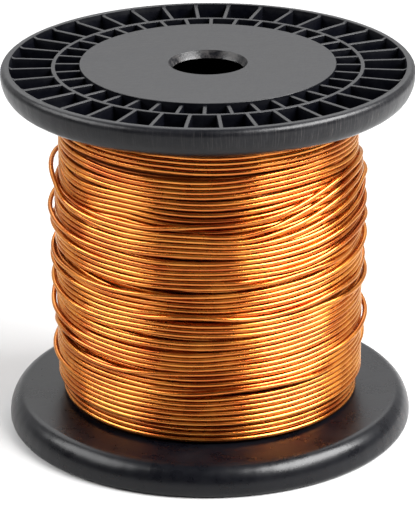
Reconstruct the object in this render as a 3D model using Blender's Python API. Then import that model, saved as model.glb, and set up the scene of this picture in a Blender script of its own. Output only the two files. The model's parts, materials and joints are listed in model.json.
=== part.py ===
"""Wire spool: two ribbed flanges on a keyed barrel, wound with enamelled copper wire.

Metres, +Z up. The origin is the centre of the lower flange's outer face, so the spool stands on
the floor and turns about Z. Both flanges are one moulding, the upper one turned over.
Inside a flange, depth is measured from its outer face towards the winding.
"""

import math

import bmesh
import bpy
from mathutils import Matrix, Vector

MM = 0.001
FIT_GAP = 0.3 * MM

# Overall size: 6.5 in flanges, 6 in high, 5 in between the flanges.
FLANGE_RADIUS = 82.55 * MM
OVERALL_HEIGHT = 152.4 * MM
FLANGE_DEPTH = 12.7 * MM

# Rim
RIM_FACE_INNER_RADIUS = 78.96 * MM
RIM_FACE_OUTER_RADIUS = 80.3 * MM
RIM_OUTER_ROUNDING = 2.8 * MM
RIM_WINDING_EDGE_RADIUS = 75.8 * MM
RIM_WINDING_ROUNDING = 9.7 * MM
RIM_WALL_DRAFT = 1.3 * MM

# Web, ribs and disc
WEB_THICKNESS = 2.6 * MM
POCKET_DEPTH = FLANGE_DEPTH - WEB_THICKNESS
RIB_DROP = 0.8 * MM
RIB_THICKNESS = 1.6 * MM
RIBS_IN_A_RING = 36
RING_RIB_OUTER_RADIUS = 62.35 * MM
RING_RIB_INNER_RADIUS = 60.7 * MM
DISC_RADIUS = 51.06 * MM
DISC_THICKNESS = 3.0 * MM
DISC_EDGE = 0.4 * MM
RIB_ROOT = 0.4 * MM  # how far a rib or key runs into the walls around it

# Arbor hole
BORE_MOUTH_RADIUS = 15.7 * MM
BORE_RADIUS = 14.3 * MM

# Barrel, its seat in the flange, and the keys that stop it turning
BARREL_RADIUS = 47.625 * MM
BARREL_WALL = 2.8 * MM
BARREL_INNER_RADIUS = BARREL_RADIUS - BARREL_WALL
SPIGOT_RADIUS = BARREL_INNER_RADIUS - FIT_GAP
SPIGOT_WALL = 2.6 * MM
SPIGOT_DEPTH = 19.0 * MM
SPIGOT_LEAD_IN = 0.6 * MM
SOCKET_RADIUS = BARREL_RADIUS + FIT_GAP
KEY_COUNT = 4
KEY_WIDTH = 5.0 * MM
KEY_HEIGHT = 3.5 * MM
NOTCH_OVERRUN = 1.2 * MM  # how far a notch is cut past the barrel's faces

# Wire
WIRE_RADIUS = 1.025 * MM
LAYER_COUNT = 8
WINDING_RADIUS = 62.1 * MM
LAYER_PITCH = (WINDING_RADIUS - SOCKET_RADIUS) / LAYER_COUNT
OUTER_LAYER_LOWER_INSET = 8.0 * MM
OUTER_LAYER_UPPER_INSET = 27.0 * MM
START_HOLE_RADIUS = 2.0 * MM
START_HOLE_HEIGHT = 24.0 * MM
START_END_LENGTH = 26.0 * MM

# Facets
ROUND_FACETS = 48
HOLE_FACETS = 16
ARC_STEPS = 4
SMOOTH_ANGLE = math.radians(30)


def clear_scene():
    for obj in list(bpy.data.objects):
        bpy.data.objects.remove(obj, do_unlink=True)


def material(name, color, roughness, metallic):
    """A Principled material with one colour all over."""
    made = bpy.data.materials.new(name)
    made.use_nodes = True
    shader = made.node_tree.nodes["Principled BSDF"]
    shader.inputs["Base Color"].default_value = (*color, 1.0)
    shader.inputs["Roughness"].default_value = roughness
    shader.inputs["Metallic"].default_value = metallic
    made.diffuse_color = (*color, 1.0)
    return made


def object_from(mesh, name, look):
    obj = bpy.data.objects.new(name, mesh)
    bpy.context.collection.objects.link(obj)
    obj.data.materials.append(look)
    return obj


def finish_mesh(bm, name):
    """The bmesh as a mesh with its faces pointing out, smooth except at its sharp edges."""
    bmesh.ops.recalc_face_normals(bm, faces=bm.faces)
    mesh = bpy.data.meshes.new(name)
    bm.to_mesh(mesh)
    bm.free()
    mesh.shade_smooth()
    mesh.set_sharp_from_angle(angle=SMOOTH_ANGLE)
    return mesh


def turned(profile, facets, name):
    """A ring turned about Z from a closed outline of (radius, height) points."""
    bm = bmesh.new()
    rings = []
    for radius, height in profile:
        ring = []
        for step in range(facets):
            angle = math.tau * step / facets
            ring.append(bm.verts.new((radius * math.cos(angle), radius * math.sin(angle), height)))
        rings.append(ring)
    for index, ring in enumerate(rings):
        following = rings[(index + 1) % len(rings)]
        for step in range(facets):
            beside = (step + 1) % facets
            bm.faces.new((ring[step], ring[beside], following[beside], following[step]))
    return finish_mesh(bm, name)


def elliptic_arc(start, end, steps, leave_flat):
    """Points of a quarter ellipse after start, up to end.

    With leave_flat the arc leaves start along the radius, otherwise along the height.
    """
    points = []
    for step in range(1, steps + 1):
        angle = math.pi / 2 * step / steps
        ease_out = math.sin(angle)
        ease_in = 1 - math.cos(angle)
        across, along = (ease_out, ease_in) if leave_flat else (ease_in, ease_out)
        points.append((
            start[0] + (end[0] - start[0]) * across,
            start[1] + (end[1] - start[1]) * along,
        ))
    return points


def flange_outline():
    """The flange's section as (radius, depth) points, from the bore round to the disc's edge."""
    winding_edge = (RIM_WINDING_EDGE_RADIUS, FLANGE_DEPTH)
    widest_inner = (FLANGE_RADIUS, FLANGE_DEPTH - RIM_WINDING_ROUNDING)
    widest_outer = (FLANGE_RADIUS, RIM_OUTER_ROUNDING)
    face_edge = (RIM_FACE_OUTER_RADIUS, 0.0)
    outline = [
        (BORE_MOUTH_RADIUS, 0.0),
        (BORE_RADIUS, DISC_THICKNESS),
        (SPIGOT_RADIUS - SPIGOT_WALL, DISC_THICKNESS),
        (SPIGOT_RADIUS - SPIGOT_WALL, SPIGOT_DEPTH),
        (SPIGOT_RADIUS - SPIGOT_LEAD_IN, SPIGOT_DEPTH),
        (SPIGOT_RADIUS, SPIGOT_DEPTH - 2 * SPIGOT_LEAD_IN),
        (SPIGOT_RADIUS, DISC_THICKNESS),
        (SOCKET_RADIUS, DISC_THICKNESS),
        (SOCKET_RADIUS, FLANGE_DEPTH),
        winding_edge,
    ]
    outline += elliptic_arc(winding_edge, widest_inner, ARC_STEPS, leave_flat=True)
    outline.append(widest_outer)
    outline += elliptic_arc(widest_outer, face_edge, ARC_STEPS // 2, leave_flat=False)
    outline += [
        (RIM_FACE_INNER_RADIUS, 0.0),
        (RIM_FACE_INNER_RADIUS - RIM_WALL_DRAFT, POCKET_DEPTH),
        (RING_RIB_OUTER_RADIUS, POCKET_DEPTH),
        (RING_RIB_OUTER_RADIUS, RIB_DROP),
        (RING_RIB_INNER_RADIUS, RIB_DROP),
        (RING_RIB_INNER_RADIUS, POCKET_DEPTH),
        (DISC_RADIUS, POCKET_DEPTH),
        (DISC_RADIUS, DISC_EDGE),
        (DISC_RADIUS - DISC_EDGE, 0.0),
    ]
    return outline


def add_bar(bm, angle, inner_radius, outer_radius, width, low, high):
    """A radial bar, a box that points away from the axis at the given angle."""
    size = Vector((outer_radius - inner_radius, width, high - low))
    centre = Vector(((outer_radius + inner_radius) / 2, 0.0, (high + low) / 2))
    place = Matrix.Rotation(angle, 4, "Z") @ Matrix.Translation(centre) @ Matrix.Diagonal((*size, 1.0))
    bmesh.ops.create_cube(bm, size=1.0, matrix=place)


def radial_ribs():
    """Both rings of radial ribs, the inner ones half a pitch round from the outer ones."""
    bm = bmesh.new()
    pitch = math.tau / RIBS_IN_A_RING
    floor = POCKET_DEPTH + RIB_ROOT
    for index in range(RIBS_IN_A_RING):
        outer_end = RIM_FACE_INNER_RADIUS + RIB_ROOT
        inner_end = RING_RIB_OUTER_RADIUS - RIB_ROOT
        add_bar(bm, index * pitch, inner_end, outer_end, RIB_THICKNESS, RIB_DROP, floor)
        outer_end = RING_RIB_INNER_RADIUS + RIB_ROOT
        inner_end = DISC_RADIUS - RIB_ROOT
        add_bar(bm, (index + 0.5) * pitch, inner_end, outer_end, RIB_THICKNESS, RIB_DROP, floor)
    return finish_mesh(bm, "radial_ribs")


def keys(reach, clearance):
    """Keys standing in the barrel's seat, or with a clearance the cutters for the barrel's notches.

    Each runs past the seat's inner and outer walls by reach.
    """
    bm = bmesh.new()
    for index in range(KEY_COUNT):
        angle = math.tau * (index + 0.5) / KEY_COUNT
        inner_end = SPIGOT_RADIUS - reach
        outer_end = SOCKET_RADIUS + reach
        low = DISC_THICKNESS - RIB_ROOT
        high = DISC_THICKNESS + KEY_HEIGHT + clearance
        add_bar(bm, angle, inner_end, outer_end, KEY_WIDTH + 2 * clearance, low, high)
    return finish_mesh(bm, "keys")


def boolean(obj, operation, other):
    """Joins or cuts with a helper object, which stays in the scene as a hidden wire."""
    other.hide_render = True
    other.display_type = "WIRE"
    modifier = obj.modifiers.new(other.name, "BOOLEAN")
    modifier.operation = operation
    modifier.solver = "EXACT"
    modifier.object = other


def flange(name, look, place):
    """One flange moulding. Its outline is drawn with depth along +Z, and place stands it in the spool."""
    body = object_from(turned(flange_outline(), ROUND_FACETS, name), name, look)
    ribs = object_from(radial_ribs(), name + "_rib_bars", look)
    seat_keys = object_from(keys(RIB_ROOT, 0.0), name + "_key_bars", look)
    for part in (body, ribs, seat_keys):
        part.matrix_world = place
    boolean(body, "UNION", ribs)
    boolean(body, "UNION", seat_keys)
    return body


def barrel(look, upper_place):
    """The tube between the flanges, notched over their keys, with a hole for the wire's start."""
    low = DISC_THICKNESS + FIT_GAP
    high = OVERALL_HEIGHT - low
    outline = [
        (BARREL_INNER_RADIUS, low),
        (BARREL_RADIUS, low),
        (BARREL_RADIUS, high),
        (BARREL_INNER_RADIUS, high),
    ]
    body = object_from(turned(outline, ROUND_FACETS, "barrel"), "barrel", look)
    for name, place in (("lower_notches", Matrix.Identity(4)), ("upper_notches", upper_place)):
        cutter = object_from(keys(NOTCH_OVERRUN, FIT_GAP), name, look)
        cutter.matrix_world = place
        boolean(body, "DIFFERENCE", cutter)
    boolean(body, "DIFFERENCE", start_hole(look))
    return body


def start_hole(look):
    """The cutter for the round hole that the wire's start goes through."""
    bm = bmesh.new()
    across = Matrix.Translation((BARREL_RADIUS, 0.0, START_HOLE_HEIGHT)) @ Matrix.Rotation(math.pi / 2, 4, "Y")
    bmesh.ops.create_cone(bm, cap_ends=True, segments=HOLE_FACETS, radius1=START_HOLE_RADIUS,
                          radius2=START_HOLE_RADIUS, depth=4 * BARREL_WALL, matrix=across)
    return object_from(finish_mesh(bm, "start_hole"), "start_hole", look)


def wire_layer(number, look):
    """One layer of turns as a closed ring of its outer shape. The outermost stops short of the flanges."""
    inner = SOCKET_RADIUS + (number - 1) * LAYER_PITCH
    outer = inner + LAYER_PITCH - FIT_GAP
    low = FLANGE_DEPTH + FIT_GAP
    high = OVERALL_HEIGHT - low
    slope = 0.0
    if number == LAYER_COUNT:
        low += OUTER_LAYER_LOWER_INSET
        high -= OUTER_LAYER_UPPER_INSET
        slope = WIRE_RADIUS
    outline = [(inner, low), (outer, low + slope), (outer, high - slope), (inner, high)]
    name = f"wire_layer_{number}"
    return object_from(turned(outline, ROUND_FACETS, name), name, look)


def wire_start_end(look):
    """The wire's first stretch, from the barrel's start hole inwards, then bent up inside the barrel."""
    bend = 3 * WIRE_RADIUS
    bend_start = BARREL_INNER_RADIUS - FIT_GAP - WIRE_RADIUS
    height = START_HOLE_HEIGHT
    points = [Vector((BARREL_RADIUS, 0.0, height)), Vector((bend_start, 0.0, height))]
    for step in range(1, ARC_STEPS + 1):
        angle = math.pi / 2 * step / ARC_STEPS
        inwards = bend_start - bend * math.sin(angle)
        points.append(Vector((inwards, 0.0, height + bend * (1 - math.cos(angle)))))
    points.append(points[-1] + Vector((0.0, 0.0, START_END_LENGTH)))
    curve = bpy.data.curves.new("wire_start_end", "CURVE")
    curve.dimensions = "3D"
    curve.bevel_depth = WIRE_RADIUS
    curve.bevel_resolution = 2
    curve.use_fill_caps = True
    spline = curve.splines.new("POLY")
    spline.points.add(len(points) - 1)
    for target, point in zip(spline.points, points):
        target.co = (*point, 1.0)
    return object_from(curve, "wire_start_end", look)


def build():
    clear_scene()
    black = material("black_plastic", (0.022, 0.023, 0.026), 0.42, 0.0)
    core = material("barrel_plastic", (0.030, 0.031, 0.034), 0.5, 0.0)
    copper = material("enamelled_copper", (0.78, 0.36, 0.09), 0.28, 1.0)
    upper_place = Matrix.Translation((0.0, 0.0, OVERALL_HEIGHT)) @ Matrix.Rotation(math.pi, 4, "X")
    flange("lower_flange", black, Matrix.Identity(4))
    flange("upper_flange", black, upper_place)
    barrel(core, upper_place)
    for number in range(1, LAYER_COUNT + 1):
        wire_layer(number, copper)
    wire_start_end(copper)


build()
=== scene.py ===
"""The looks of the wire spool: moulded black flanges and real turns of enamelled copper wire.

Metres, +Z up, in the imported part's own frame: the spool's axis is Z and it stands on Z = 0.
A flange's section is drawn in (radius, depth), with depth measured from its outer face inwards.
Angles run anticlockwise from +X, seen from above.
"""

import json
import math

import bmesh
import bpy
import numpy as np
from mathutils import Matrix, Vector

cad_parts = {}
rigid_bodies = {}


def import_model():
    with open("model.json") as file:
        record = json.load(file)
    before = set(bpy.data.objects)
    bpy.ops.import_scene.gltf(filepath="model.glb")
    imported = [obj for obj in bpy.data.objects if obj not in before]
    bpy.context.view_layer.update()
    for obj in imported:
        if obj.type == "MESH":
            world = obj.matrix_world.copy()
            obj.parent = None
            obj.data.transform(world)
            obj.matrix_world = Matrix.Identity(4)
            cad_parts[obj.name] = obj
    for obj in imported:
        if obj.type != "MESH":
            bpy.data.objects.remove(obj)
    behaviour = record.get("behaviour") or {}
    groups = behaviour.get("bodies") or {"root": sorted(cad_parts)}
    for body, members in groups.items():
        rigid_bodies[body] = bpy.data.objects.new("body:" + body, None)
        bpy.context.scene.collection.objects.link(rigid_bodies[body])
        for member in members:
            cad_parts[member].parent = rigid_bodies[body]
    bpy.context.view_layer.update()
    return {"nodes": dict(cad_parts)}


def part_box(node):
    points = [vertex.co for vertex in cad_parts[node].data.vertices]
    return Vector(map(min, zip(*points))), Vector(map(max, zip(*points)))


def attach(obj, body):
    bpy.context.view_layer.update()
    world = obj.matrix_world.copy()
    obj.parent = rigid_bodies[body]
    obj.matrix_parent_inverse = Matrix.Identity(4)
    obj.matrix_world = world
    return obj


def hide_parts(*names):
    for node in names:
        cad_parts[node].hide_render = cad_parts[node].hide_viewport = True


MM = 0.001
SEED = 7

# Flange section, as in the CAD. The barrel and the winding keep a small gap to it.
RIM_FACE_INNER_RADIUS = 78.96 * MM
RIM_FACE_OUTER_RADIUS = 80.3 * MM
RIM_OUTER_ROUNDING = 2.8 * MM
RIM_WINDING_EDGE_RADIUS = 75.8 * MM
RIM_WINDING_ROUNDING = 9.7 * MM
RIM_WALL_DRAFT = 1.3 * MM
WEB_THICKNESS = 2.6 * MM
RING_RIB_OUTER_RADIUS = 62.35 * MM
RING_RIB_INNER_RADIUS = 60.7 * MM
DISC_RADIUS = 51.06 * MM
DISC_THICKNESS = 3.0 * MM
BORE_MOUTH_RADIUS = 15.7 * MM
BORE_RADIUS = 14.3 * MM
SPIGOT_INNER_RADIUS = 41.925 * MM
SPIGOT_OUTER_RADIUS = 44.525 * MM
SPIGOT_DEPTH = 19.0 * MM
SOCKET_RADIUS = 47.925 * MM
GAP_TO_WINDING = 0.3 * MM

# Radial ribs
RIBS_IN_A_RING = 36
RIB_DROP = 0.8 * MM
RIB_HALF_WIDTH = 0.8 * MM
RIB_DRAFT = 0.15 * MM
EDGE_RADIUS = 0.28 * MM
ROOT_RADIUS = 0.45 * MM
NARROWEST_FAN = 48.0 * MM
SAME_PLACE = 0.001 * MM
SHARPEST_SMOOTH_ANGLE = math.radians(50)

# Steps in the roundings of the section
EDGE_STEPS = 2
MOUTH_STEPS = 3
RIM_OUTER_STEPS = 7
RIM_WINDING_STEPS = 14

# Where the plastic is scuffed, painted lighter or glossier: where that starts and where it is full. The side
# is along X: the rim's scuffs are painted stronger towards +X as painted light from the right-hand lamp, and
# the bore's wall is painted lighter as painted light.
RIM_SCUFF_RADII = (81.2 * MM, 82.2 * MM)
RIM_PAINTED_LIGHT_SIDE = (-20 * MM, 60 * MM)
BORE_PAINTED_LIGHT_RADII = (16.0 * MM, 15.6 * MM)
POCKET_GLOSS_HEIGHTS = (150.8 * MM, 149.2 * MM)
POCKET_GLOSS_RADII = (80.0 * MM, 79.2 * MM)

# Wire and how it lies
WIRE_RADIUS = 1.025 * MM
WIRE_DIAMETER = 2 * WIRE_RADIUS
STEPS_PER_TURN = 216
WIRE_SIDES = 8
UNDER_LAYER_RADIUS = 59.3 * MM
UNDER_LAYER_TURNS = 55
OUTER_LAYER_TURNS = 38
OUTER_LAYER_LOW = 21.3 * MM
OUTER_LAYER_HIGH = 104.5 * MM
LAYER_RISE = 1.775 * MM
LEAST_PITCH = 1.006 * WIRE_DIAMETER
CLIMB_SHARE = 0.2
FLANGE_CLEARANCE = 0.25 * MM
SETTLING_ROUNDS = 500

# Steps to each side over which the pulled wire can't dip, widest first, and how often they are gone over
SPANS = (10, 7, 5, 3, 2, 1)
TAUT_ROUNDS = 3

# Steps to each side over which the finished path is smoothed, and the pieces that each layer is cut into
HEIGHT_BLUR = 4
RADIUS_BLUR = 3
UNDER_LAYER_PIECES = 3
OUTER_LAYER_PIECES = 6

# How the turns stray at random: waves round the spool with their sizes, and a shorter waver on top.
# A spacing is the number of turns between one random value and the next.
STRAY_WAVES = ((1, 0.7 * MM), (2, 0.7 * MM), (3, 0.4 * MM))
STRAY_SPACING = 5
WAVER = 0.16 * MM
WAVER_SPACING = 0.35
RADIUS_WAVER = 0.05 * MM
RADIUS_WAVER_SPACING = 0.3

# Heights and lengths in the tables are in mm, and directions in degrees from the camera's side of the
# spool, anticlockwise from above. A height is where the turn passes the camera's side.

# How far the turns bow upwards: height, rise at the left, rise at the right, rise at the back
UNDER_BOWS = (
    (14, 0.0, 0.0, 0.0),
    (60, 2.0, 2.0, 2.0),
    (100, 4.0, 7.0, 5.0),
    (118, 8.5, 8.5, 6.0),
    (128, 5.0, 5.0, 4.0),
    (139, 0.0, 0.0, 0.0),
)
OUTER_BOWS = (
    (20, 0.2, 0.6, 0.4),
    (60, 0.8, 2.2, 2.0),
    (80, 1.2, 3.6, 3.0),
    (95, 1.4, 5.4, 4.5),
    (105, 2.0, 6.4, 6.0),
)

# Gaps between neighbouring turns: height, direction, reach to each side, opening
UNDER_PARTINGS = (
    (125.3, -25, 75, 2.2),
    (129.5, -80, 40, 1.0),
    (131.0, 80, 35, 1.0),
    (121.0, 75, 40, 1.2),
    (118.0, 20, 60, 0.7),
    (121.5, -64, 34, 1.2),
    (117.5, -60, 32, 1.3),
    (113.5, -75, 45, 0.9),
    (120.5, 170, 60, 1.2),
)
OUTER_PARTINGS = (
    (101.6, 8, 32, 2.6),
    (96.0, -35, 45, 0.3),
    (89.6, -14, 36, 1.2),
    (77.6, 0, 40, 1.3),
    (68.0, 25, 50, 0.3),
    (56.6, -14, 50, 1.6),
    (52.2, -20, 45, 1.0),
    (41.0, 10, 60, 0.4),
    (33.0, 30, 60, 0.3),
    (84.0, 150, 50, 1.2),
    (61.0, -160, 60, 1.5),
    (38.0, 170, 50, 1.0),
)

# Stretches where a turn leaves its place and rides over its neighbours: height, direction, reach to
# each side, how far it strays upwards, how far it stands off
CROSSINGS = (
    (105.6, 62, 60, 8.6, 0.0),
    (102.2, 64, 58, 7.2, 0.0),
    (100.0, 66, 56, 5.4, 0.0),
    (97.8, 70, 54, 3.0, 0.0),
    (96.0, 96, 50, 2.2, 1.2),
    (91.0, 70, 50, 2.4, 0.0),
    (84.0, 66, 46, 3.0, 0.0),
    (75.0, 92, 60, 2.2, 0.0),
    (63.5, 90, 50, -2.2, 0.0),
    (43.5, 98, 60, 2.4, 0.3),
    (101.0, -100, 62, 8.4, 2.3),
    (98.6, -92, 62, 2.6, 0.0),
    (89.0, -95, 60, 3.2, 1.0),
    (69.0, -100, 60, 2.4, 0.3),
    (62.0, -96, 55, 2.0, 0.0),
    (50.6, -100, 60, 2.6, 0.3),
    (31.4, -100, 60, 3.2, 0.6),
    (79.5, 160, 55, 4.5, 0.0),
    (66.5, -170, 62, -4.5, 0.0),
    (38.2, 172, 55, 4.0, 0.0),
    (27.5, 165, 50, 3.2, 0.0),
    (104.0, 176, 40, 6.5, 0.0),
)

# Smaller crossings at random places: ranges of height, reach and stray, as in the table above
HOPS = 26
HOP_HEIGHTS = (26, 96)
HOP_REACHES = (22, 50)
HOP_STRAYS = (1.2, 2.6)
RIDES_BEYOND = 0.06 * WIRE_DIAMETER

# Camera: where it stands from the spool's axis and upper face, and how it looks down
CAMERA_TURN = math.radians(-4.6)
CAMERA_DISTANCE = 1.1392
CAMERA_SIDESTEP = 0.0197
CAMERA_ABOVE_TOP = 0.3706
CAMERA_PITCH = math.radians(21.7)
CAMERA_LENS = 212.0
CAMERA_SENSOR = 36.0
CAMERA_SHIFT = -0.098

FRONT = math.radians(-90) + CAMERA_TURN

# Studio: each softbox's place, its width and height, and its power in watts. All face the spool's middle.
SOFTBOXES = {
    "right_softbox": ((0.87, -0.41, 0.92), (1.2, 0.66), 76),
    "left_softbox": ((-0.97, -0.08, 0.80), (1.05, 0.6), 19.5),
    "overhead_softbox": ((0.0, 0.9, 1.2), (1.6, 1.2), 15),
}
SPOOL_MIDDLE = (0, 0, 0.075)
SURROUND_IN_FRONT = 0.06
SURROUND_BEHIND = 0.93
SURROUND_FULL_FROM = 0.95
FLOOR_HALF_WIDTH = 6.0
FLOOR_DROP = 0.2 * MM


def link(obj):
    """Puts a new object into the scene."""
    bpy.context.scene.collection.objects.link(obj)
    return obj


def mesh_object(name, points, faces, look):
    """A smooth mesh object from arrays of points and faces, with one material."""
    mesh = bpy.data.meshes.new(name)
    mesh.from_pydata([tuple(point) for point in points], [], [tuple(face) for face in faces])
    mesh.validate()
    mesh.shade_smooth()
    mesh.materials.append(look)
    return link(bpy.data.objects.new(name, mesh))


# ---------------------------------------------------------------- materials


class Shader:
    """A Principled material, with short calls for the nodes that feed it."""

    def __init__(self, name):
        self.material = bpy.data.materials.new(name)
        self.material.use_nodes = True
        self.tree = self.material.node_tree
        self.principled = self.tree.nodes["Principled BSDF"]
        self.object_coordinates = self.node("ShaderNodeTexCoord").outputs["Object"]

    def node(self, kind, **settings):
        made = self.tree.nodes.new(kind)
        for key, value in settings.items():
            setattr(made, key, value)
        return made

    def join(self, source, target):
        """Links one node's output to another's input."""
        self.tree.links.new(source, target)

    def fill(self, target, value):
        """Puts a number, a colour or another node's output into a socket."""
        if isinstance(value, bpy.types.NodeSocket):
            self.join(value, target)
        else:
            target.default_value = value

    def math(self, operation, first, second=0.0, third=0.0):
        made = self.node("ShaderNodeMath", operation=operation)
        for target, value in zip(made.inputs, (first, second, third)):
            self.fill(target, value)
        return made.outputs[0]

    def scaled(self, coordinates, scale):
        made = self.node("ShaderNodeMapping")
        self.join(coordinates, made.inputs["Vector"])
        made.inputs["Scale"].default_value = scale
        return made.outputs["Vector"]

    def noise(self, coordinates, scale, detail=2.0, roughness=0.5):
        made = self.node("ShaderNodeTexNoise")
        self.join(coordinates, made.inputs["Vector"])
        made.inputs["Scale"].default_value = scale
        made.inputs["Detail"].default_value = detail
        made.inputs["Roughness"].default_value = roughness
        return made.outputs["Fac"]

    def ramp(self, source, low, high):
        """Source mapped so that low gives 0 and high gives 1, held within that."""
        made = self.node("ShaderNodeMapRange", clamp=True)
        self.join(source, made.inputs["Value"])
        made.inputs["From Min"].default_value = low
        made.inputs["From Max"].default_value = high
        return made.outputs["Result"]

    def mix(self, factor, first, second):
        made = self.node("ShaderNodeMix", data_type="RGBA")
        self.fill(made.inputs["Factor"], factor)
        self.fill(made.inputs["A"], first)
        self.fill(made.inputs["B"], second)
        return made.outputs["Result"]

    def between(self, factor, low, high):
        """A number that runs from low to high with the factor."""
        return self.math("MULTIPLY_ADD", factor, high - low, low)

    def bump(self, height, strength, distance):
        """Fine relief from a height, too fine to be modelled."""
        made = self.node("ShaderNodeBump")
        made.inputs["Strength"].default_value = strength
        made.inputs["Distance"].default_value = distance
        self.join(height, made.inputs["Height"])
        self.join(made.outputs["Normal"], self.principled.inputs["Normal"])

    def set(self, name, value):
        """Fills one of the Principled shader's own sockets."""
        self.fill(self.principled.inputs[name], value)

    def split(self, vector):
        """The x, y and z of a vector."""
        made = self.node("ShaderNodeSeparateXYZ")
        self.join(vector, made.inputs[0])
        return made.outputs

    def cylinder_coordinates(self):
        """Object coordinates as a vector of (angle in turns, radius, height), then radius and height."""
        x, y, z = self.split(self.object_coordinates)
        turns = self.math("DIVIDE", self.math("ARCTAN2", y, x), math.tau)
        radius = self.math("SQRT", self.math("MULTIPLY_ADD", x, x, self.math("MULTIPLY", y, y)))
        joined = self.node("ShaderNodeCombineXYZ")
        for target, value in zip(joined.inputs, (turns, radius, z)):
            self.fill(target, value)
        return joined.outputs[0], radius, z


def scuffs_and_painted_light(shader, around, radius, unevenness):
    """Scuffs and painted light: scuffed streaks round the rim, painted stronger towards the right-hand lamp as
    painted light, and lighter patches in the bore as painted light on its wall.
    """
    streaks = shader.noise(shader.scaled(around, (900.0, 12.0, 60.0)), 1.0, detail=4.0, roughness=0.75)
    across = shader.split(shader.object_coordinates)[0]
    # Painted light: the rim's scuffs are made stronger towards +X, the side lit by the right-hand lamp.
    painted_light_by_side = shader.between(shader.ramp(across, *RIM_PAINTED_LIGHT_SIDE), 0.35, 1.0)
    on_rim = shader.math("MULTIPLY", shader.ramp(radius, *RIM_SCUFF_RADII), painted_light_by_side)
    rim_scuffs_and_painted_light = shader.math("MULTIPLY", shader.ramp(streaks, 0.52, 0.76), on_rim)
    # Painted light: lighter patches on the bore's wall stand in for the light that falls on it.
    in_bore = shader.ramp(radius, *BORE_PAINTED_LIGHT_RADII)
    bore_painted_light = shader.math("MULTIPLY", in_bore, shader.ramp(unevenness, 0.4, 1.1))
    return shader.math("MAXIMUM", rim_scuffs_and_painted_light, bore_painted_light)


def flange_plastic(name, worn_with_painted_light):
    """Black moulded plastic: satin grain and faint flow clouds. A worn one is scuffed on the rim, with painted
    light that makes the rim's right side and the bore's wall lighter.

    Its pockets are glossier than its faces.
    """
    shader = Shader(name)
    place = shader.object_coordinates
    clouds = shader.ramp(shader.noise(place, 60.0, detail=5.0, roughness=0.75), 0.3, 0.7)
    unevenness = shader.noise(place, 420.0, detail=3.0, roughness=0.6)
    grain = shader.noise(place, 2600.0, detail=3.0, roughness=0.6)
    colour = shader.mix(clouds, (0.0005, 0.0006, 0.0015, 1), (0.0036, 0.0038, 0.0052, 1))
    if worn_with_painted_light:
        around, radius, height = shader.cylinder_coordinates()
        wear_and_painted_light = scuffs_and_painted_light(shader, around, radius, unevenness)
        below_face = shader.ramp(height, *POCKET_GLOSS_HEIGHTS)
        in_pockets = shader.math("MULTIPLY", below_face, shader.ramp(radius, *POCKET_GLOSS_RADII))
        # The scuff colour, which also carries the painted light on the rim's right side and on the bore's
        # wall.
        colour = shader.mix(wear_and_painted_light, colour, (0.075, 0.069, 0.066, 1))
        gloss = shader.between(clouds, 0.27, 0.40)
        gloss = shader.math("MULTIPLY_ADD", wear_and_painted_light, 0.20, gloss)
        gloss = shader.math("MULTIPLY_ADD", in_pockets, -0.17, gloss)
        coarseness = 6.0
    else:
        gloss = shader.between(clouds, 0.24, 0.34)
        coarseness = 2.0
    shader.set("Base Color", colour)
    shader.set("Roughness", gloss)
    shader.set("IOR", 1.5)
    shader.set("Specular IOR Level", 0.23)
    shader.bump(shader.math("MULTIPLY_ADD", unevenness, coarseness, grain), 0.25, 0.06 * MM)
    return shader.material


def barrel_plastic():
    """The barrel's plainer black plastic, with faint lines along the axis."""
    shader = Shader("barrel_plastic")
    place = shader.object_coordinates
    lines = shader.noise(shader.scaled(place, (900.0, 900.0, 20.0)), 1.0, detail=2.0)
    clouds = shader.noise(place, 30.0, detail=3.0)
    shader.set("Base Color", shader.mix(clouds, (0.020, 0.020, 0.022, 1), (0.035, 0.035, 0.038, 1)))
    shader.set("Roughness", shader.between(clouds, 0.42, 0.58))
    shader.bump(lines, 0.15, 0.05 * MM)
    return shader.material


def enamelled_copper():
    """Drawn copper under clear amber enamel. Its tone shifts from turn to turn and along each turn."""
    shader = Shader("enamelled_copper")
    place = shader.object_coordinates
    by_turn = shader.noise(shader.scaled(place, (14.0, 14.0, 620.0)), 1.0, detail=2.0)
    along = shader.noise(place, 70.0, detail=3.0)
    draw_lines = shader.noise(shader.scaled(place, (160.0, 160.0, 5200.0)), 1.0, detail=2.0)
    blend = shader.math("MULTIPLY_ADD", along, 0.45, shader.math("MULTIPLY", by_turn, 0.55))
    tone = shader.ramp(blend, 0.36, 0.62)
    shader.set("Base Color", shader.mix(tone, (0.375, 0.071, 0.0080, 1), (0.58, 0.206, 0.031, 1)))
    shader.set("Metallic", 0.98)
    shader.set("Roughness", shader.between(shader.ramp(along, 0.3, 0.7), 0.22, 0.31))
    shader.set("Specular Tint", (0.95, 0.78, 0.52, 1))
    shader.set("Coat Weight", 0.3)
    shader.set("Coat Roughness", 0.16)
    shader.set("Coat IOR", 1.55)
    shader.bump(draw_lines, 0.10, 0.02 * MM)
    return shader.material


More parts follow.
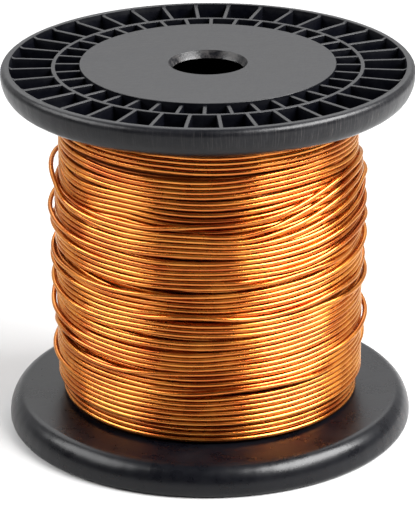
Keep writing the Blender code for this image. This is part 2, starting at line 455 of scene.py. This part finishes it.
def buried_copper():
    """The wire's inner layers, which are seen only through gaps: rounded turns painted on, with painted light
    on their crests and painted shade in the valleys between them.
    """
    shader = Shader("buried_copper")
    place = shader.object_coordinates
    phase = shader.math("MULTIPLY", shader.split(place)[2], math.pi / WIRE_DIAMETER)
    crests = shader.math("ABSOLUTE", shader.math("SINE", phase))
    tone = shader.noise(shader.scaled(place, (20.0, 20.0, 300.0)), 1.0, detail=2.0)
    # Painted shading: each painted turn is lighter at its crest and darker in the valley between turns.
    painted_turn_shading = shader.math("MULTIPLY", shader.ramp(crests, 0.2, 0.9), shader.between(tone, 0.4, 1.0))
    shader.set("Base Color", shader.mix(painted_turn_shading, (0.130, 0.026, 0.004, 1), (0.45, 0.115, 0.016, 1)))
    shader.set("Metallic", 0.7)
    shader.set("Roughness", 0.45)
    shader.bump(crests, 1.0, WIRE_RADIUS)
    return shader.material


def pale_floor():
    """A plain pale studio floor with the least mottling."""
    shader = Shader("pale_floor")
    mottle = shader.noise(shader.object_coordinates, 6.0, detail=3.0)
    shader.set("Base Color", shader.mix(mottle, (0.41, 0.41, 0.41, 1), (0.44, 0.44, 0.44, 1)))
    shader.set("Roughness", 0.75)
    return shader.material


# ---------------------------------------------------------------- flanges


def arc(start, end, leave_along_radius, steps):
    """Points of a quarter ellipse after start, up to and with end."""
    points = []
    for step in range(1, steps + 1):
        angle = math.pi / 2 * step / steps
        ease_out = math.sin(angle)
        ease_in = 1 - math.cos(angle)
        across, along = (ease_out, ease_in) if leave_along_radius else (ease_in, ease_out)
        points.append((start[0] + (end[0] - start[0]) * across, start[1] + (end[1] - start[1]) * along))
    return points


def wall_down(radius, top, floor, outwards, draft=0.0):
    """A steep wall from a face at depth top to a floor, rounded at its edge and its root.

    outwards is +1 for a wall whose floor lies at greater radius, and -1 for the other way.
    """
    lip = (radius - outwards * EDGE_RADIUS, top)
    edge = (radius, top + EDGE_RADIUS)
    root = (radius + outwards * draft, floor - ROOT_RADIUS)
    foot = (radius + outwards * (draft + ROOT_RADIUS), floor)
    return [lip, *arc(lip, edge, True, EDGE_STEPS), root, *arc(root, foot, False, EDGE_STEPS)]


def wall_up(radius, floor, top, outwards, draft=0.0):
    """The same kind of wall, from its floor up to its top."""
    return wall_down(radius, top, floor, -outwards, draft)[::-1]


def pocket_side(flange_depth):
    """The outer side's outline, from the bore's mouth to the rim's face."""
    floor = flange_depth - WEB_THICKNESS
    disc_wall = wall_down(DISC_RADIUS, 0.0, floor, +1)
    ring_inner = wall_up(RING_RIB_INNER_RADIUS, floor, RIB_DROP, +1)
    ring_outer = wall_down(RING_RIB_OUTER_RADIUS, RIB_DROP, floor, +1)
    rim_wall = wall_up(RIM_FACE_INNER_RADIUS, floor, 0.0, +1, RIM_WALL_DRAFT)
    mouth = (BORE_MOUTH_RADIUS, EDGE_RADIUS)
    mouth_edge = arc(mouth, (BORE_MOUTH_RADIUS + EDGE_RADIUS, 0.0), False, MOUTH_STEPS)
    return [mouth, *mouth_edge, *disc_wall, *ring_inner, *ring_outer, *rim_wall]


def winding_side(flange_radius, flange_depth):
    """The rest of the outline: over the rim, across the winding side, back through the barrel's seat."""
    face_edge = (RIM_FACE_OUTER_RADIUS, 0.0)
    widest_outer = (flange_radius, RIM_OUTER_ROUNDING)
    widest_inner = (flange_radius, flange_depth - RIM_WINDING_ROUNDING)
    winding_edge = (RIM_WINDING_EDGE_RADIUS, flange_depth)
    return [
        face_edge,
        *arc(face_edge, widest_outer, True, RIM_OUTER_STEPS),
        widest_inner,
        *arc(widest_inner, winding_edge, False, RIM_WINDING_STEPS),
        (SOCKET_RADIUS, flange_depth),
        (SOCKET_RADIUS, DISC_THICKNESS),
        (SPIGOT_OUTER_RADIUS, DISC_THICKNESS),
        (SPIGOT_OUTER_RADIUS, SPIGOT_DEPTH),
        (SPIGOT_INNER_RADIUS, SPIGOT_DEPTH),
        (SPIGOT_INNER_RADIUS, DISC_THICKNESS),
        (BORE_RADIUS, DISC_THICKNESS),
    ]


def rib_columns(floor):
    """Offsets across one rib and the depth of its surface there, from one root over the top to the other."""
    half = [(RIB_HALF_WIDTH - EDGE_RADIUS, RIB_DROP)]
    edge = (RIB_HALF_WIDTH, RIB_DROP + EDGE_RADIUS)
    half += arc(half[0], edge, True, EDGE_STEPS)
    root = (RIB_HALF_WIDTH + RIB_DRAFT, floor - ROOT_RADIUS)
    half += [root, *arc(root, (RIB_HALF_WIDTH + RIB_DRAFT + ROOT_RADIUS, floor), False, EDGE_STEPS)]
    return [(-offset, depth) for offset, depth in half[::-1]] + half


def flange_mesh(name, flange_radius, flange_depth, look):
    """A flange as one lattice: rows follow its section, columns fan out along every rib's edges."""
    floor = flange_depth - WEB_THICKNESS
    outer_side = pocket_side(flange_depth)
    rows = outer_side + winding_side(flange_radius, flange_depth)
    ribs = rib_columns(floor)
    pitch = math.tau / RIBS_IN_A_RING
    columns = []
    for index in range(RIBS_IN_A_RING):
        columns += [("outer", index * pitch, offset, depth) for offset, depth in ribs]
        columns += [("inner", (index + 0.5) * pitch, offset, depth) for offset, depth in ribs]
    middle = (RING_RIB_INNER_RADIUS + RING_RIB_OUTER_RADIUS) / 2
    band_of_row = []
    for index, (radius, depth) in enumerate(rows):
        in_pockets = index < len(outer_side) and depth > RIB_DROP
        band_of_row.append(("inner" if radius < middle else "outer") if in_pockets else None)
    points = np.zeros((len(rows), len(columns), 3))
    for column, (band, angle, offset, rib_depth) in enumerate(columns):
        for row, (radius, depth) in enumerate(rows):
            turn = angle + math.asin(offset / max(radius, NARROWEST_FAN))
            shown = min(depth, rib_depth) if band == band_of_row[row] else depth
            points[row, column] = (radius * math.cos(turn), radius * math.sin(turn), shown)
    faces = lattice_faces(len(rows), len(columns), wrap_rows=True, wrap_columns=True)
    obj = mesh_object(name, points.reshape(-1, 3), faces, look)
    merge_coincident_points(obj.data)
    obj.data.set_sharp_from_angle(angle=SHARPEST_SMOOTH_ANGLE)
    even_normals = obj.modifiers.new("even_normals", "WEIGHTED_NORMAL")
    even_normals.weight = 80
    even_normals.keep_sharp = True
    return obj


def merge_coincident_points(mesh):
    """Joins the points that fall together where a rib's top meets the circular rib."""
    shape = bmesh.new()
    shape.from_mesh(mesh)
    bmesh.ops.remove_doubles(shape, verts=shape.verts, dist=SAME_PLACE)
    shape.to_mesh(mesh)
    shape.free()


def lattice_faces(rows, columns, wrap_rows, wrap_columns):
    """Quads between neighbouring points of a lattice, as rows of four indices."""
    row = np.arange(rows if wrap_rows else rows - 1)[:, None]
    column = np.arange(columns if wrap_columns else columns - 1)[None, :]
    next_row = (row + 1) % rows
    next_column = (column + 1) % columns
    corners = (
        row * columns + column,
        row * columns + next_column,
        next_row * columns + next_column,
        next_row * columns + column,
    )
    shape = (row.shape[0], column.shape[1])
    return np.stack([np.broadcast_to(corner, shape) for corner in corners], axis=-1).reshape(-1, 4)


def turn_over(obj, height):
    """Turns a flange over in its mesh, so that its outer face is at the given height, facing up."""
    for vertex in obj.data.vertices:
        x, y, z = vertex.co
        vertex.co = (x, -y, height - z)


def make_flanges():
    """Both flanges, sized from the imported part. The upper one is the same moulding turned over."""
    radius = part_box("lower_flange")[1].x
    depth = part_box("wire_layer_7")[0].z - GAP_TO_WINDING
    plain = flange_plastic("flange_plastic", worn_with_painted_light=False)
    wear_and_painted_light_plastic = flange_plastic("flange_plastic_wear_and_painted_light", worn_with_painted_light=True)
    lower = flange_mesh("lower_flange_moulding", radius, depth, plain)
    upper = flange_mesh("upper_flange_moulding", radius, depth, wear_and_painted_light_plastic)
    turn_over(upper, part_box("upper_flange")[1].z)
    for piece, node in ((lower, "lower_flange"), (upper, "upper_flange")):
        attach(piece, "root")
        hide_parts(node)


# ---------------------------------------------------------------- winding


def smooth_noise(length, spacing, generator):
    """A smooth random line of the given length, from -1 to 1, with a knot every spacing samples."""
    knots = generator.uniform(-1, 1, int(length / spacing) + 4)
    place = np.arange(length) / spacing
    whole = place.astype(int)
    part = place - whole
    ease = part * part * (3 - 2 * part)
    return knots[whole] * (1 - ease) + knots[whole + 1] * ease


def blur(values, reach):
    """A running average with a bell-shaped window, the ends held."""
    window = np.hanning(2 * reach + 3)[1:-1]
    padded = np.concatenate([np.full(reach, values[0]), values, np.full(reach, values[-1])])
    return np.convolve(padded, window / window.sum(), mode="valid")


def smooth_step(values):
    """Eases from 0 to 1 as the values do, and holds the ends."""
    part = np.clip(values, 0, 1)
    return part * part * (3 - 2 * part)


def directions(count):
    """Directions along a path that starts at the back, in degrees from the camera's side."""
    return (np.arange(count) % STEPS_PER_TURN) * 360 / STEPS_PER_TURN - 180


def bow(height, direction, bows):
    """How far a turn at this height bows upwards in each direction. It is level on the camera's side."""
    heights, *rises = np.array(bows).T * MM
    left, right, back = (np.interp(height, heights, rise) for rise in rises)
    angle = np.radians(direction)
    away = 1 - np.cos(angle)
    sideways = np.sin(angle)
    level = back / 2 * away
    sides = (left + right - back) / 2 * sideways ** 2
    tilt = (right - left) / 2 * sideways * away
    return level + sides + tilt


def path_index(even_height, height, direction):
    """The sample of a layer that lies in this direction, nearest to this height in mm."""
    start = round((direction + 180) / 360 * STEPS_PER_TURN) % STEPS_PER_TURN
    return start + STEPS_PER_TURN * int(np.abs(even_height[start::STEPS_PER_TURN] - height * MM).argmin())


def swell(count, middle, reach):
    """A smooth rise from 0 to 1 and back along a path of count samples, reach in degrees to each side."""
    place = (np.arange(count) - middle) / (reach / 360 * STEPS_PER_TURN)
    return np.where(np.abs(place) < 1, np.cos(np.clip(place, -1, 1) * math.pi / 2) ** 2, 0)


def keep_apart(height, least, lowest, highest):
    """Pushes each turn and the next, which lies above it, apart until they are at least so far apart."""
    packed = WIRE_DIAMETER * np.arange(len(height)) / STEPS_PER_TURN
    for _ in range(SETTLING_ROUNDS):
        gap = height[STEPS_PER_TURN:] - height[:-STEPS_PER_TURN]
        push = np.maximum(least - gap, 0) / 2
        height[STEPS_PER_TURN:] += push
        height[:-STEPS_PER_TURN] -= push
        height = np.clip(height, lowest + packed, highest - packed[::-1])
    return height


def layer_heights(turns, start, end, highest, bows, partings, generator):
    """A layer's even heights from start to end, and its real ones: bowed, straying and parted."""
    count = turns * STEPS_PER_TURN
    even = start + (end - start) * np.arange(count) / count
    around = np.radians(directions(count))
    freedom = np.sin(np.linspace(0, math.pi, count))
    height = even + bow(even, directions(count), bows)
    for waves, size in STRAY_WAVES:
        for wave in (np.cos(waves * around), np.sin(waves * around)):
            drift = smooth_noise(count, STEPS_PER_TURN * STRAY_SPACING, generator)
            height = height + size * freedom * drift * wave
    height = height + WAVER * smooth_noise(count, STEPS_PER_TURN * WAVER_SPACING, generator)
    least = np.full(count - STEPS_PER_TURN, LEAST_PITCH)
    for place, direction, reach, opening in partings:
        least += opening * MM * swell(count, path_index(even, place, direction), reach)[:-STEPS_PER_TURN]
    lowest = min(start, end)
    if end > start:
        return even, keep_apart(height, least, lowest, highest)
    return even, -keep_apart(-height, least, -highest, -lowest)


def under_layer_path(low, high, generator):
    """Height and radius of the layer beneath, wound downwards. It starts from inside the layer below it."""
    _, height = layer_heights(UNDER_LAYER_TURNS, high, low, high, UNDER_BOWS, UNDER_PARTINGS, generator)
    count = len(height)
    waver = smooth_noise(count, STEPS_PER_TURN * RADIUS_WAVER_SPACING, generator)
    climb = smooth_step(np.arange(count) / (CLIMB_SHARE / 2 * STEPS_PER_TURN))
    return height, UNDER_LAYER_RADIUS + RADIUS_WAVER * waver - LAYER_RISE * (1 - climb)


def hop(generator):
    """A small crossing at a random place, as a row like those of CROSSINGS."""
    height = generator.uniform(*HOP_HEIGHTS)
    direction = generator.uniform(-180, 180)
    reach = generator.uniform(*HOP_REACHES)
    strays = generator.choice((-1, 1)) * generator.uniform(*HOP_STRAYS)
    return height, direction, reach, strays, 0.0


def outer_layer_path(start_height, generator):
    """Heights along the outer layer, how far each sample stands off, and which samples ride on others."""
    low, high = OUTER_LAYER_LOW, OUTER_LAYER_HIGH
    highest = high + max(OUTER_BOWS[-1][1:]) * MM
    even, height = layer_heights(OUTER_LAYER_TURNS, low, high, highest, OUTER_BOWS, OUTER_PARTINGS, generator)
    count = len(height)
    crossings = [*CROSSINGS, *(hop(generator) for _ in range(HOPS))]
    stands_off = np.zeros(count)
    rides = np.zeros(count, dtype=bool)
    for place, direction, reach, strays, off in crossings:
        rise = swell(count, path_index(even, place, direction), reach)
        height = height + strays * MM * rise
        stands_off += off * MM * rise
        rides |= np.abs(strays * MM * rise) > RIDES_BEYOND
    climb = smooth_step(np.arange(count) / (CLIMB_SHARE * STEPS_PER_TURN))
    return blur(start_height + (height - start_height) * climb, HEIGHT_BLUR), stands_off, rides


def pull_taut(radius):
    """Straightens dips narrower than the wire would span, as a pulled wire does round a coil."""
    step = math.tau / STEPS_PER_TURN
    for _ in range(TAUT_ROUNDS):
        for reach in SPANS:
            before = radius[:-2 * reach]
            after = radius[2 * reach:]
            chord = 2 * before * after * math.cos(reach * step) / (before + after)
            radius[reach:-reach] = np.maximum(radius[reach:-reach], chord)
    return radius


def lay_on(height, under_height, under_radius, stands_off, rides):
    """Radii that rest each turn on what lies beneath it, or off it by how far it stands off.

    Riding stretches are laid last, over the others.
    """
    turns = len(height) // STEPS_PER_TURN
    height = height.reshape(turns, STEPS_PER_TURN)
    stands_off = stands_off.reshape(turns, STEPS_PER_TURN)
    rides = rides.reshape(turns, STEPS_PER_TURN)
    all_heights = np.concatenate([under_height.reshape(-1, STEPS_PER_TURN), height])
    all_radii = np.concatenate([under_radius.reshape(-1, STEPS_PER_TURN), np.zeros(height.shape)])
    first = len(all_heights) - turns
    for laying_riders in (False, True):
        for turn in range(turns):
            now = rides[turn] == laying_riders
            away = np.abs(all_heights[:, now] - height[turn, now])
            rise = np.sqrt(np.maximum(WIRE_DIAMETER ** 2 - away ** 2, 0))
            touching = (away < WIRE_DIAMETER) & (all_radii[:, now] > 0)
            rest = np.where(touching, all_radii[:, now] + rise, UNDER_LAYER_RADIUS)
            all_radii[first + turn, now] = rest.max(axis=0) + stands_off[turn, now]
    return all_radii[first:].reshape(-1)


def centre_line(height, radius):
    """Points along a path that starts at the back of the spool and runs anticlockwise."""
    angle = FRONT + math.pi + np.arange(len(height)) * math.tau / STEPS_PER_TURN
    return np.stack([radius * np.cos(angle), radius * np.sin(angle), height], axis=1)


def tube(name, path, look):
    """A round wire along the path, closed at both ends."""
    along = np.gradient(path, axis=0)
    along /= np.linalg.norm(along, axis=1, keepdims=True)
    outwards = path * (1, 1, 0)
    outwards -= (outwards * along).sum(1, keepdims=True) * along
    outwards /= np.linalg.norm(outwards, axis=1, keepdims=True)
    sideways = np.cross(along, outwards)
    around = np.arange(WIRE_SIDES) * math.tau / WIRE_SIDES
    cosine = np.cos(around)[None, :, None]
    sine = np.sin(around)[None, :, None]
    points = path[:, None] + WIRE_RADIUS * (cosine * outwards[:, None] + sine * sideways[:, None])
    faces = [list(face) for face in lattice_faces(len(path), WIRE_SIDES, wrap_rows=False, wrap_columns=True)]
    last = (len(path) - 1) * WIRE_SIDES
    faces.append(list(reversed(range(WIRE_SIDES))))
    faces.append([last + side for side in range(WIRE_SIDES)])
    return mesh_object(name, points.reshape(-1, 3), faces, look)


def tubes_in_bands(name, path, first_turn, last_turn, bands, node, look):
    """Some turns of the wire's path, cut at the back into bands of whole turns, one piece for each band."""
    cuts = [first_turn + round((last_turn - first_turn) * band / bands) for band in range(bands + 1)]
    for number, (start, end) in enumerate(zip(cuts[:-1], cuts[1:]), start=1):
        piece = tube(f"{name}_{number}", path[start * STEPS_PER_TURN:end * STEPS_PER_TURN + 1], look)
        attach(piece, "root")
        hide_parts(node)


def make_winding(look):
    """The outermost two layers as real turns of one wire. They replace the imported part's outer two rings."""
    generator = np.random.default_rng(SEED)
    low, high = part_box("wire_layer_7")
    lowest = low.z + WIRE_RADIUS - FLANGE_CLEARANCE
    highest = high.z - WIRE_RADIUS + FLANGE_CLEARANCE
    under_height, under_radius = under_layer_path(lowest, highest, generator)
    height, stands_off, rides = outer_layer_path(under_height[-1], generator)
    radius = lay_on(height, under_height, under_radius, stands_off, rides)
    radius = blur(pull_taut(np.concatenate([under_radius, radius])), RADIUS_BLUR)
    path = centre_line(np.concatenate([under_height, height]), radius)
    middle, end = UNDER_LAYER_TURNS, UNDER_LAYER_TURNS + OUTER_LAYER_TURNS
    tubes_in_bands("wire_under_turns", path, 0, middle, UNDER_LAYER_PIECES, "wire_layer_7", look)
    tubes_in_bands("wire_outer_turns", path, middle, end, OUTER_LAYER_PIECES, "wire_layer_8", look)


def dress_inner_pieces(nodes):
    """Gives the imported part's own pieces, which stay inside, their final looks."""
    buried = buried_copper()
    nodes["barrel"].material_slots[0].material = barrel_plastic()
    for name, node in nodes.items():
        if name.startswith("wire_"):
            node.material_slots[0].material = buried


# ---------------------------------------------------------------- stage


def softbox(name, place, size, power):
    """A plain white area light that faces the spool."""
    data = bpy.data.lights.new(name, "AREA")
    data.shape = "RECTANGLE"
    data.size, data.size_y = size
    data.energy = power
    light = link(bpy.data.objects.new(name, data))
    light.location = place
    away = light.location - Vector(SPOOL_MIDDLE)
    light.rotation_euler = away.to_track_quat("Z", "Y").to_euler()


def make_surround():
    """A white surround that grows brighter from the camera's side of the studio to the back."""
    world = bpy.data.worlds.new("studio")
    bpy.context.scene.world = world
    world.use_nodes = True
    nodes = world.node_tree.nodes
    links = world.node_tree.links
    direction = nodes.new("ShaderNodeTexCoord").outputs["Generated"]
    split = nodes.new("ShaderNodeSeparateXYZ")
    links.new(direction, split.inputs[0])
    towards_back = nodes.new("ShaderNodeMapRange")
    towards_back.inputs["From Min"].default_value = 0.0
    towards_back.inputs["From Max"].default_value = SURROUND_FULL_FROM
    towards_back.inputs["To Min"].default_value = SURROUND_IN_FRONT
    towards_back.inputs["To Max"].default_value = SURROUND_BEHIND
    links.new(split.outputs["Y"], towards_back.inputs["Value"])
    background = nodes["Background"]
    background.inputs["Color"].default_value = (1, 1, 1, 1)
    links.new(towards_back.outputs["Result"], background.inputs["Strength"])


def make_lights():
    """Three softboxes, the surround, and a plain view transform."""
    for name, (place, size, power) in SOFTBOXES.items():
        softbox(name, place, size, power)
    make_surround()
    bpy.context.scene.view_settings.view_transform = "Standard"


def make_floor():
    """A wide plain floor, just below the spool so that the two don't share a plane."""
    half = FLOOR_HALF_WIDTH
    corners = [(-half, -half, 0), (half, -half, 0), (half, half, 0), (-half, half, 0)]
    floor = mesh_object("floor", corners, [(0, 1, 2, 3)], pale_floor())
    floor.location.z = -FLOOR_DROP


def make_camera():
    """The camera looks slightly down at the spool, and stands a little to one side."""
    data = bpy.data.cameras.new("camera")
    data.lens = CAMERA_LENS
    data.sensor_width = CAMERA_SENSOR
    data.shift_x = CAMERA_SHIFT
    camera = link(bpy.data.objects.new("camera", data))
    forward = np.array((-math.sin(CAMERA_TURN), math.cos(CAMERA_TURN)))
    right = np.array((math.cos(CAMERA_TURN), math.sin(CAMERA_TURN)))
    x, y = right * CAMERA_SIDESTEP - forward * CAMERA_DISTANCE
    camera.location = (x, y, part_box("upper_flange")[1].z + CAMERA_ABOVE_TOP)
    camera.rotation_euler = (math.radians(90) - CAMERA_PITCH, 0, CAMERA_TURN)
    bpy.context.scene.camera = camera


# ---------------------------------------------------------------- scene

for obj in list(bpy.data.objects):
    bpy.data.objects.remove(obj, do_unlink=True)
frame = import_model()

make_camera()
make_flanges()
make_winding(enamelled_copper())
dress_inner_pieces(frame["nodes"])
make_floor()
make_lights()
